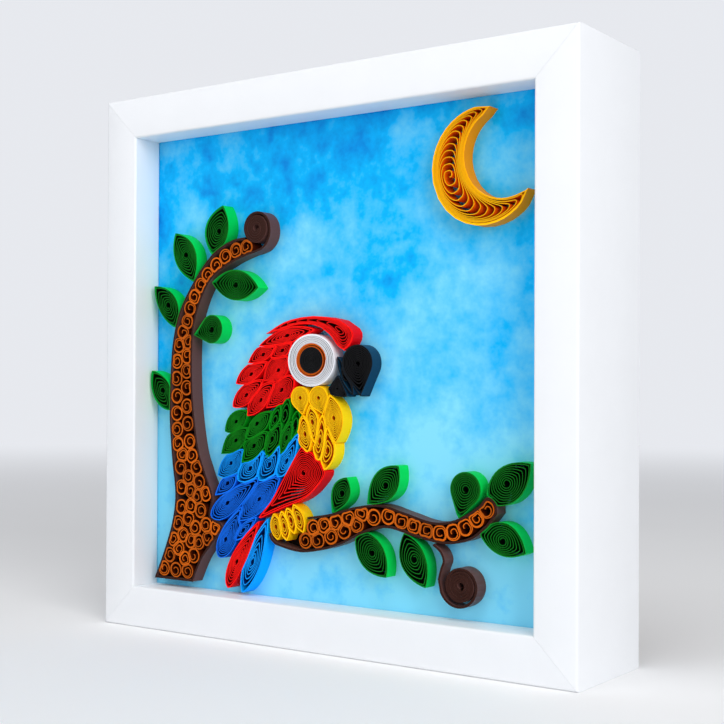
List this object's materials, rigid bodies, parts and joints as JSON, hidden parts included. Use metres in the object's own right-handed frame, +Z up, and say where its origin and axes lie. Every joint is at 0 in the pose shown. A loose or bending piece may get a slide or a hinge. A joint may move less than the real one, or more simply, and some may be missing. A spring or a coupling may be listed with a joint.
{
  "type": "quilled paper art",
  "caption": "Quilled paper picture of a bird on a branch under a crescent moon, on a blue card in a deep white box frame.",
  "frame": {"origin": "middle of the bottom rail's underside, halfway through the frame's depth", "axes": "+Z up, the picture faces -Y, +X to the viewer's right, +Y towards the frame's open back"},
  "size_m": [0.25, 0.056, 0.25],
  "materials": {
    "frame_paint": "satin",
    "sky_paper": "matte",
    "back_board": "matte",
    "point_steel": "satin",
    "dark_brown_paper": "matte",
    "bark_paper": "matte",
    "leaf_paper": "matte",
    "moon_paper": "matte",
    "white_paper": "matte",
    "iris_paper": "matte",
    "black_paper": "matte",
    "red_paper": "matte",
    "yellow_paper": "matte",
    "green_paper": "matte",
    "light_blue_paper": "matte",
    "dark_blue_paper": "matte"
  },
  "bodies": {
    "root": {"rail_top": "frame_paint", "rail_bottom": "frame_paint", "rail_left": "frame_paint", "rail_right": "frame_paint", "sky_card": "sky_paper", "back_board": "back_board", "framer_points": "point_steel", "trunk_outline": "dark_brown_paper", "branch_outline": "dark_brown_paper", "twig_curl": "dark_brown_paper", "trunk_bark": "bark_paper", "branch_bark": "bark_paper", "tree_leaf_top": "leaf_paper", "tree_leaf_upper": "leaf_paper", "tree_leaf_left": "leaf_paper", "tree_leaf_right": "leaf_paper", "tree_leaf_drop": "leaf_paper", "tree_leaf_low": "leaf_paper", "branch_leaf_near": "leaf_paper", "branch_leaf_up": "leaf_paper", "branch_leaf_down": "leaf_paper", "branch_leaf_middle": "leaf_paper", "branch_leaf_drop": "leaf_paper", "branch_leaf_tip_up": "leaf_paper", "branch_leaf_tip_down": "leaf_paper", "moon": "moon_paper", "eye_white": "white_paper", "eye_iris": "iris_paper", "eye_pupil": "black_paper", "beak_upper": "black_paper", "beak_side": "black_paper", "beak_lower": "black_paper", "hood_crown": "red_paper", "hood_feather_1": "red_paper", "hood_feather_2": "red_paper", "hood_feather_3": "red_paper", "hood_feather_4": "red_paper", "hood_feather_5": "red_paper", "hood_feather_6": "red_paper", "hood_feather_7": "red_paper", "hood_feather_8": "red_paper", "neck_feather_1": "yellow_paper", "neck_feather_2": "yellow_paper", "neck_feather_3": "yellow_paper", "neck_feather_4": "yellow_paper", "neck_feather_5": "yellow_paper", "neck_feather_6": "yellow_paper", "neck_feather_7": "yellow_paper", "breast": "red_paper", "tail_red": "red_paper", "tail_blue": "dark_blue_paper", "toes": "yellow_paper", "green_coverts": "green_paper", "blue_coverts": "light_blue_paper", "flight_feather_1": "dark_blue_paper", "flight_feather_2": "dark_blue_paper", "flight_feather_3": "dark_blue_paper", "flight_feather_4": "dark_blue_paper", "flight_feather_5": "dark_blue_paper"}
  },
  "joints": []
}
